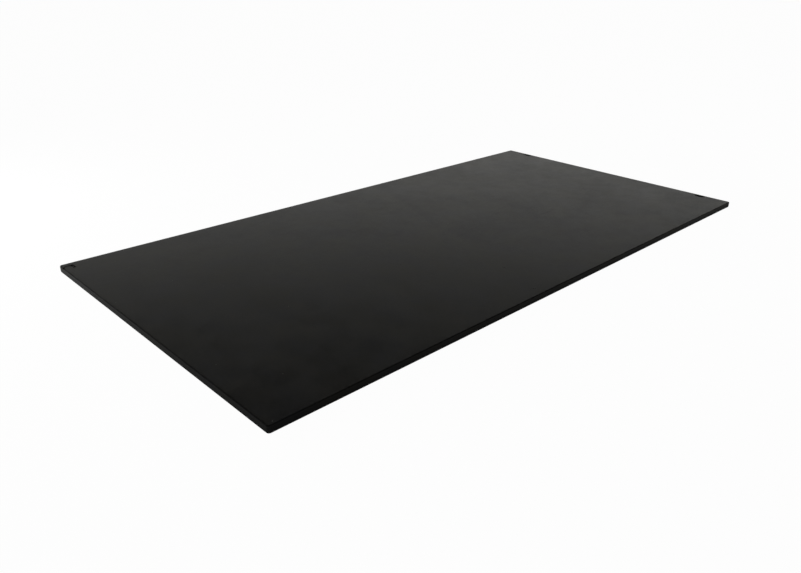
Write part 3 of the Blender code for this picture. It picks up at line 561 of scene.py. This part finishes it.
def wave(obj, low, high):
    """Makes the slab a little uneven, always inwards, so that it stays inside its box."""
    half = (high - low) / 2
    top_band = high.z - TOP_ROUND * 1.05
    for vertex in obj.data.vertices:
        co = vertex.co
        broad = waviness(co, BROAD_WAVES, 1.7)
        fine = waviness(co, FINE_WAVES, 4.1)
        if co.z > top_band:
            co.z -= TOP_WAVE * (0.5 - 0.5 * (BROAD_SHARE * broad + (1 - BROAD_SHARE) * fine))
        edge = EDGE_WAVE * (0.5 + 0.5 * waviness(co, EDGE_WAVES, 8.3))
        for axis in (0, 1):
            if abs(co[axis]) > half[axis] - PLAN_CORNER:
                co[axis] -= math.copysign(edge, co[axis])


def cavity_cutters():
    """The hollow for the heating layers and the wider rebate that the base cover closes."""
    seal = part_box("rim_seal")
    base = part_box("base_cover")
    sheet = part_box("heat_spreader")
    return [
        plain_cutter(
            "cavity",
            (sheet[0].x - GAP, sheet[0].y - SHEET_GAP, -REACH),
            (sheet[1].x + GAP, sheet[1].y + SHEET_GAP, sheet[1].z + GAP),
            CAVITY_CORNER,
        ),
        plain_cutter(
            "rebate",
            (base[0].x - GAP, base[0].y - GAP, -REACH),
            (base[1].x + GAP, base[1].y + GAP, seal[1].z + RUNNING),
            CAVITY_CORNER,
        ),
    ]


def slot_cutters(node, top):
    """The opening and the seat of one fixing slot."""
    centre = middle(node)
    seat = size_of(node) / 2 + Vector((RUNNING, RUNNING, 0))
    hole = seat - Vector((LINER_LIP, LINER_LIP, 0))
    return [
        stack("opening", centre, hole.x, hole.y, hole.x, [(0, -REACH), (0, top)]),
        flared("seat", centre, seat.x, seat.y, seat.x, top - LINER_SEAT, top),
    ]


def socket_cutters(low, top):
    """The socket's seat and bore, the relief for its hinge, the thumb notch and the wiring channel."""
    socket = middle("socket_seal")
    hinge = middle("cap_hinge_pin")
    seat = size_of("socket_cap").y / 2 + CAP_PLAY
    bore = size_of("socket_seal").x / 2 + RUNNING
    relief_from = socket.x + RELIEF_START
    relief_to = hinge.x + RELIEF_END
    relief_mid = Vector(((relief_from + relief_to) / 2, socket.y, 0))
    relief_half = (relief_to - relief_from) / 2
    notch_from = low.x - REACH
    notch_mid = Vector(((notch_from + socket.x) / 2, socket.y, 0))
    notch_half = (socket.x - notch_from) / 2
    return [
        flared("seat", socket, seat, seat, seat, top - SEAT_DEPTH, top, 12),
        stack("bore", socket, bore, bore, bore, [(0, BORE_FLOOR), (0, top)], 10),
        flared("relief", relief_mid, relief_half, RELIEF_HALF, RELIEF_CORNER, top - SEAT_DEPTH, top, 4),
        flared("thumb", notch_mid, notch_half, THUMB_HALF, THUMB_CORNER, top - THUMB_DEPTH, top, 5),
        plain_cutter(
            "channel",
            (socket.x, socket.y - CHANNEL_HALF, CHANNEL_LEVELS[0]),
            (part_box("heat_spreader")[0].x + REACH, socket.y + CHANNEL_HALF, CHANNEL_LEVELS[1]),
            CHANNEL_CORNER,
        ),
    ]


def make_skin():
    """The rubber cover: a slightly uneven slab with all its recesses."""
    low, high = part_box("top_cover")
    skin = slab_blank(low, high)
    slice_up(skin, GRID)
    wave(skin, low, high)
    cutters = cavity_cutters() + socket_cutters(low, high.z)
    for node in ("slot_liner_back", "slot_liner_front"):
        cutters += slot_cutters(node, high.z)
    cut_all(skin, cutters)
    shade(skin)
    stand_for(skin, "top_cover")


# ---------------------------------------------------------------- stage


def floor_sheet(name, faces, material):
    """A flat sheet just below the mat, from faces given by their corners."""
    mesh = bpy.data.meshes.new(name)
    bm = bmesh.new()
    for corners in faces:
        bm.faces.new([bm.verts.new((x, y, 0)) for x, y in corners])
    bmesh.ops.remove_doubles(bm, verts=bm.verts, dist=MERGE)
    bm.to_mesh(mesh)
    bm.free()
    mesh.materials.append(material)
    sheet = bpy.data.objects.new(name, mesh)
    sheet.location.z = cad_low.z - FLOOR_GAP
    bpy.context.scene.collection.objects.link(sheet)
    return sheet


def floor_material(name, strength):
    """Glowing to the camera, grey in reflections, and clear from below."""
    material = bpy.data.materials.new(name)
    material.use_nodes = True
    tree = material.node_tree
    tree.nodes.remove(tree.nodes["Principled BSDF"])

    def mixed(share, first, second):
        node = tree.nodes.new("ShaderNodeMixShader")
        if isinstance(share, float):
            node.inputs[0].default_value = share
        else:
            tree.links.new(share, node.inputs[0])
        tree.links.new(first, node.inputs[1])
        tree.links.new(second, node.inputs[2])
        return node.outputs[0]

    def matt(tone):
        node = tree.nodes.new("ShaderNodeBsdfDiffuse")
        node.inputs["Color"].default_value = (tone, tone, tone, 1)
        return node.outputs[0]

    glow = tree.nodes.new("ShaderNodeEmission")
    glow.inputs["Strength"].default_value = strength
    path = tree.nodes.new("ShaderNodeLightPath")
    faces = tree.nodes.new("ShaderNodeNewGeometry")
    clear = tree.nodes.new("ShaderNodeBsdfTransparent")
    lit = mixed(GLOW_SHARE, matt(FLOOR_TONE), glow.outputs[0])
    seen = mixed(path.outputs["Is Camera Ray"], matt(FLOOR_REFLECTED), lit)
    surface = mixed(faces.outputs["Backfacing"], seen, clear.outputs[0])
    tree.links.new(surface, tree.nodes["Material Output"].inputs["Surface"])
    return material


def make_floor():
    """A white sheet round the mat, and a dark one under it that only the camera sees: a painted shadow
    along the mat's bottom edge.
    """
    rim = outline((0, 0), FLOOR_REACH, FLOOR_REACH, FLOOR_CORNER, 6)
    edge = outline((0, 0), cad_high.x - PAINTED_SHADOW_INSET, cad_high.y - PAINTED_SHADOW_INSET, PLAN_CORNER, 6)
    quads = []
    for i in range(len(rim)):
        j = (i + 1) % len(rim)
        quads.append((rim[i], rim[j], edge[j], edge[i]))
    floor_sheet("floor", quads, floor_material("floor", FLOOR_GLOW))
    # The dark sheet under the mat is painted shadow: a black sheet that only the camera sees, standing in
    # for the shade under the mat's bottom edge.
    under = floor_sheet("painted_shadow_under_mat", [edge], floor_material("painted_shadow_under_mat", 0.0))
    under.visible_diffuse = False
    under.visible_glossy = False
    under.visible_transmission = False
    under.visible_shadow = False


def make_world():
    """A white room: its walls are bright near the floor and fade upwards, with a soft glow overhead."""
    world = bpy.data.worlds.new("studio")
    bpy.context.scene.world = world
    world.use_nodes = True
    tree = world.node_tree
    background = tree.nodes["Background"]

    def value(operation, first, second=None):
        node = tree.nodes.new("ShaderNodeMath")
        node.operation = operation
        for socket, source in zip(node.inputs, (first, second)):
            if isinstance(source, (int, float)):
                socket.default_value = source
            elif source is not None:
                tree.links.new(source, socket)
        return node.outputs[0]

    where = tree.nodes.new("ShaderNodeTexCoord")
    split = tree.nodes.new("ShaderNodeSeparateXYZ")
    tree.links.new(where.outputs["Generated"], split.inputs["Vector"])
    height = value("ABSOLUTE", split.outputs["Z"])
    over = value("DIVIDE", value("MAXIMUM", value("SUBTRACT", height, WALL_TOP), 0.0), WALL_FADE)
    fade = value("EXPONENT", value("MULTIPLY", value("POWER", over, 2.0), -1.0))
    ahead_x = value("MULTIPLY", split.outputs["X"], BRIGHT_SIDE.x)
    ahead_y = value("MULTIPLY", split.outputs["Y"], BRIGHT_SIDE.y)
    ahead = value("ADD", ahead_x, ahead_y)
    sides = tree.nodes.new("ShaderNodeMapRange")
    sides.interpolation_type = "SMOOTHSTEP"
    sides.inputs["From Min"].default_value = BRIGHT_SPREAD[0]
    sides.inputs["From Max"].default_value = BRIGHT_SPREAD[1]
    sides.inputs["To Min"].default_value = DIM_SIDE
    tree.links.new(ahead, sides.inputs["Value"])
    wall = value("MULTIPLY", value("MULTIPLY", fade, sides.outputs["Result"]), WALL_LIGHT)
    above = tree.nodes.new("ShaderNodeMapRange")
    above.interpolation_type = "SMOOTHSTEP"
    above.inputs["From Min"].default_value = OVERHEAD_FROM
    above.inputs["To Min"].default_value = ROOM_LIGHT
    above.inputs["To Max"].default_value = OVERHEAD_LIGHT
    tree.links.new(height, above.inputs["Value"])
    room = value("ADD", wall, above.outputs["Result"])
    path = tree.nodes.new("ShaderNodeLightPath")
    pale = value("MULTIPLY", path.outputs["Is Camera Ray"], BACKDROP)
    rest = value("MULTIPLY", value("SUBTRACT", 1.0, path.outputs["Is Camera Ray"]), room)
    tree.links.new(value("ADD", pale, rest), background.inputs["Strength"])
    background.inputs["Color"].default_value = (*WALL_TINT, 1)


def make_softbox(name, location, target, side, power):
    """A square lamp that lights the floor and matt surfaces, but isn't seen in the rubber's sheen."""
    data = bpy.data.lights.new(name, "AREA")
    data.size = side
    data.energy = power
    lamp = bpy.data.objects.new(name, data)
    lamp.location = location
    lamp.rotation_euler = (Vector(target) - Vector(location)).to_track_quat("-Z", "Y").to_euler()
    lamp.visible_glossy = False
    bpy.context.scene.collection.objects.link(lamp)


def make_camera():
    azimuth = math.radians(CAMERA_AZIMUTH)
    elevation = math.radians(CAMERA_ELEVATION)
    flat = math.cos(elevation)
    back = Vector((math.sin(azimuth) * flat, -math.cos(azimuth) * flat, math.sin(elevation)))
    data = bpy.data.cameras.new("camera")
    data.lens = CAMERA_LENS
    data.sensor_width = CAMERA_SENSOR
    data.clip_start = CAMERA_NEAREST
    camera = bpy.data.objects.new("camera", data)
    camera.location = CAMERA_TARGET + back * CAMERA_DISTANCE
    level = (-back).to_track_quat("-Z", "Y").to_matrix().to_4x4()
    roll = Matrix.Rotation(math.radians(CAMERA_ROLL), 4, "Z")
    camera.rotation_euler = (level @ roll).to_euler()
    bpy.context.scene.collection.objects.link(camera)
    bpy.context.scene.camera = camera


# ---------------------------------------------------------------- build

# Pieces whose edges are rounded, with the radius
BEVELS = {
    "base_cover": 0.2 * MM,
    "rim_seal": 0.08 * MM,
    "rating_plate": 0.06 * MM,
    "slot_liner_back": 0.2 * MM,
    "slot_liner_front": 0.2 * MM,
    "socket_cap": 0.22 * MM,
    "cap_gasket": 0.12 * MM,
    "cap_hinge_pin": 0.10 * MM,
    "socket_body": 0.12 * MM,
    "contact_live": 0.10 * MM,
    "contact_neutral": 0.10 * MM,
    "contact_earth": 0.10 * MM,
    "insulation_sheet": 0.3 * MM,
    "element_carrier": 0.05 * MM,
    "heat_spreader": 0.05 * MM,
    "junction_tray": 0.15 * MM,
    "junction_lid": 0.12 * MM,
    "splice_barrel_live": 0.10 * MM,
    "splice_barrel_neutral": 0.10 * MM,
    "splice_sleeve_live": 0.08 * MM,
    "splice_sleeve_neutral": 0.08 * MM,
    "cutout_case": 0.12 * MM,
    "cutout_lid": 0.06 * MM,
    "cutout_input_terminal": 0.05 * MM,
    "cutout_output_terminal": 0.05 * MM,
    "cutout_arm": 0.04 * MM,
    "cutout_rivet": 0.08 * MM,
    "earth_lug": 0.08 * MM,
    "earth_rivet": 0.08 * MM,
}
TAPES = [f"fixing_tape_{number}" for number in range(1, 6)]
TAPE_BEVEL = 0.04 * MM
# Wires and a ring that are made finer, with the radius of the round
ROUND_PIECES = {
    "heating_core": 0.35 * MM,
    "heating_cable_jacket": 1.0 * MM,
    "live_lead": 0.65 * MM,
    "neutral_lead": 0.65 * MM,
    "earth_lead": 0.65 * MM,
    "cutout_link_lead": 0.65 * MM,
    "socket_seal": 0.5 * MM,
}

make_skin()
for node, width in BEVELS.items():
    bevelled(node, width)
for node in TAPES:
    bevelled(node, TAPE_BEVEL, 2)
for node, radius in ROUND_PIECES.items():
    rounded(node, radius)

make_floor()
make_world()
make_softbox("left", location=(-1.0, 0.9, 0.4), target=(-0.62, 0.35, 0), side=0.4, power=7)
make_softbox("right", location=(1.7, -1.5, 0.9), target=(0.5, -0.3, 0), side=0.9, power=8)
make_camera()
bpy.context.scene.view_settings.view_transform = "Standard"
